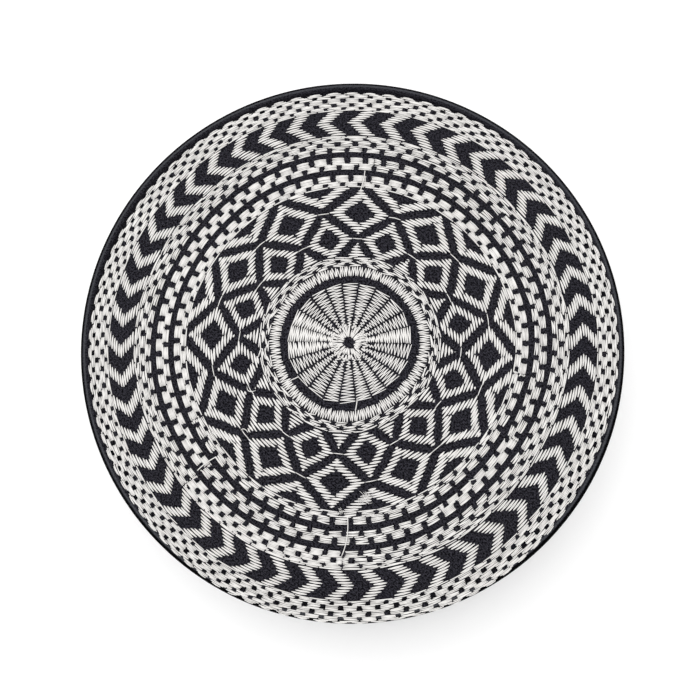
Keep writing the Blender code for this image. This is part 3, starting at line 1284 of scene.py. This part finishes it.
BORDER_HEIGHT = 7.6
CHECK_PITCH = 0.42
BORDER_GAPS = (
    (0.0, 1.0, 91, 0.0, 1.5, 1.5, 0.0),
    (1.7, 3.2, 91, 1.978, 1.8, 1.8, 0.0),
    (3.8, 5.3, 91, 0.0, 1.8, 1.8, 0.0),
    (6.2, 8.0, 91, 1.978, 1.5, 1.5, 0.0),
)


def border(foot, flipped):
    """A border of checks whose toothed edge looks up, or down where it is flipped."""
    gaps = []
    for low, high, *rest in BORDER_GAPS:
        if flipped:
            low, high = BORDER_HEIGHT - high, BORDER_HEIGHT - low
        gaps.append((foot + low, foot + high, *rest))

    def white(height, angles):
        return clear_of(gaps, height, angles, band_scale)

    heights = even_rows(foot, foot + BORDER_HEIGHT, CHECK_PITCH)
    return rows_of(heights, white, CHECK_LOOK, chance, band_place, band_scale)


BAND_ARROWS = 72
BAND_ARROW_HEIGHT = 10.5
BAND_ARROW_COLUMNS = ("share of the height", "black from", "black to")
BAND_ARROW = (
    (0.0, 2.0, 3.6),
    (0.5, 0.0, 2.0),
    (1.0, 2.0, 3.6),
)


def band_arrows_white(foot):
    shares, firsts, lasts = zip(*BAND_ARROW)
    pitch = 360.0 / BAND_ARROWS

    def white(height, angles):
        share = (height - foot) / BAND_ARROW_HEIGHT
        first = np.interp(share, shares, firsts)
        last = np.interp(share, shares, lasts)
        behind = angles % pitch
        return (behind < first) | (behind > last)

    return white


LOWER_MARGIN = 2.6           # from the binding to the lower border
UPPER_MARGIN = 2.2           # from the upper border to the piping's seam
HALF_PAIR = 0.4              # from the edge of the arrows to the middle of their first pair of threads
LOWER_BORDER = binding_top + LOWER_MARGIN
UPPER_BORDER = band_top - UPPER_MARGIN - BORDER_HEIGHT
ARROWS_FOOT = (LOWER_BORDER + UPPER_BORDER + BORDER_HEIGHT - BAND_ARROW_HEIGHT) / 2
ARROWS_TOP = ARROWS_FOOT + BAND_ARROW_HEIGHT

chance = np.random.default_rng(16)
border_table = border(LOWER_BORDER, False) + border(UPPER_BORDER, True)
lay_stitches("band_embroidery_borders", border_table, on_band, white_thread, 31)
band_arrow_rows = even_rows(ARROWS_FOOT + HALF_PAIR, ARROWS_TOP - HALF_PAIR, PAIR_PITCH)
band_white = band_arrows_white(ARROWS_FOOT)
band_arrow_table = rows_of(band_arrow_rows, band_white, ARROW_LOOK, chance, band_place, band_scale)
lay_stitches("band_embroidery_arrows", band_arrow_table, on_band, white_thread, 32)

# %% [markdown]
# A row of black stitches near the binding's upper edge holds it to the band. Machine topstitching has one
# length all the way round, so the stitches are evenly spaced.

# %% Topstitching of the binding
TOPSTITCHES = 190
TOPSTITCH_SHARE = 0.84       # of the step from one stitch to the next
TOPSTITCH_MARGIN = 1.5
TOPSTITCH_HEIGHT = binding_top - TOPSTITCH_MARGIN
TOPSTITCH_WIDTH = 0.42
topstitch_pitch = TURN * binding_radius / TOPSTITCHES
topstitch_table = []
for number in range(TOPSTITCHES):
    first = number * topstitch_pitch
    last = first + TOPSTITCH_SHARE * topstitch_pitch
    topstitch_table.append((first, TOPSTITCH_HEIGHT, last, TOPSTITCH_HEIGHT, TOPSTITCH_WIDTH, 0.0, 0.0))
lay_stitches("hem_topstitching", topstitch_table, on_binding, black_thread, 33)

# %% [markdown]
# The cap stands on a plain pale floor. One large soft light hangs over it, a little towards the back, and
# an even pale surrounding fills the sides, as in a picture taken in a light tent.

# %% Floor, light and surroundings
FLOOR_SIZE = 6.0
PALE = (0.97, 0.97, 0.97, 1.0)
WHITE = (1.0, 1.0, 1.0, 1.0)
SOFTBOX_PLACE = (-0.15, 0.2, 1.75)
SOFTBOX_AIM = (0.0, 0.0, 0.05)
SOFTBOX_SIZE = 1.6
SOFTBOX_POWER = 16.0
floor_shape = bmesh.new()
bmesh.ops.create_grid(floor_shape, x_segments=1, y_segments=1, size=FLOOR_SIZE)
floor_mesh = bpy.data.meshes.new("floor")
floor_shape.to_mesh(floor_mesh)
floor_shape.free()
floor_paint = Finish("pale_floor", Base_Color=PALE, Roughness=0.9)
floor_mesh.materials.append(floor_paint.material)
floor = bpy.data.objects.new("floor", floor_mesh)
bpy.context.scene.collection.objects.link(floor)


def soft_light(name, place, aim, size, power):
    data = bpy.data.lights.new(name, "AREA")
    data.shape = "DISK"
    data.size = size
    data.energy = power
    lamp = bpy.data.objects.new(name, data)
    bpy.context.scene.collection.objects.link(lamp)
    lamp.location = place
    lamp.rotation_euler = (Vector(aim) - Vector(place)).to_track_quat("-Z", "Y").to_euler()
    return lamp


soft_light("overhead_softbox", SOFTBOX_PLACE, SOFTBOX_AIM, SOFTBOX_SIZE, SOFTBOX_POWER)
world = bpy.data.worlds.new("surroundings")
world.use_nodes = True
background = world.node_tree.nodes["Background"]
background.inputs["Color"].default_value = WHITE
background.inputs["Strength"].default_value = 1.0
bpy.context.scene.world = world
bpy.context.scene.view_settings.view_transform = "Standard"
print("stage ready")
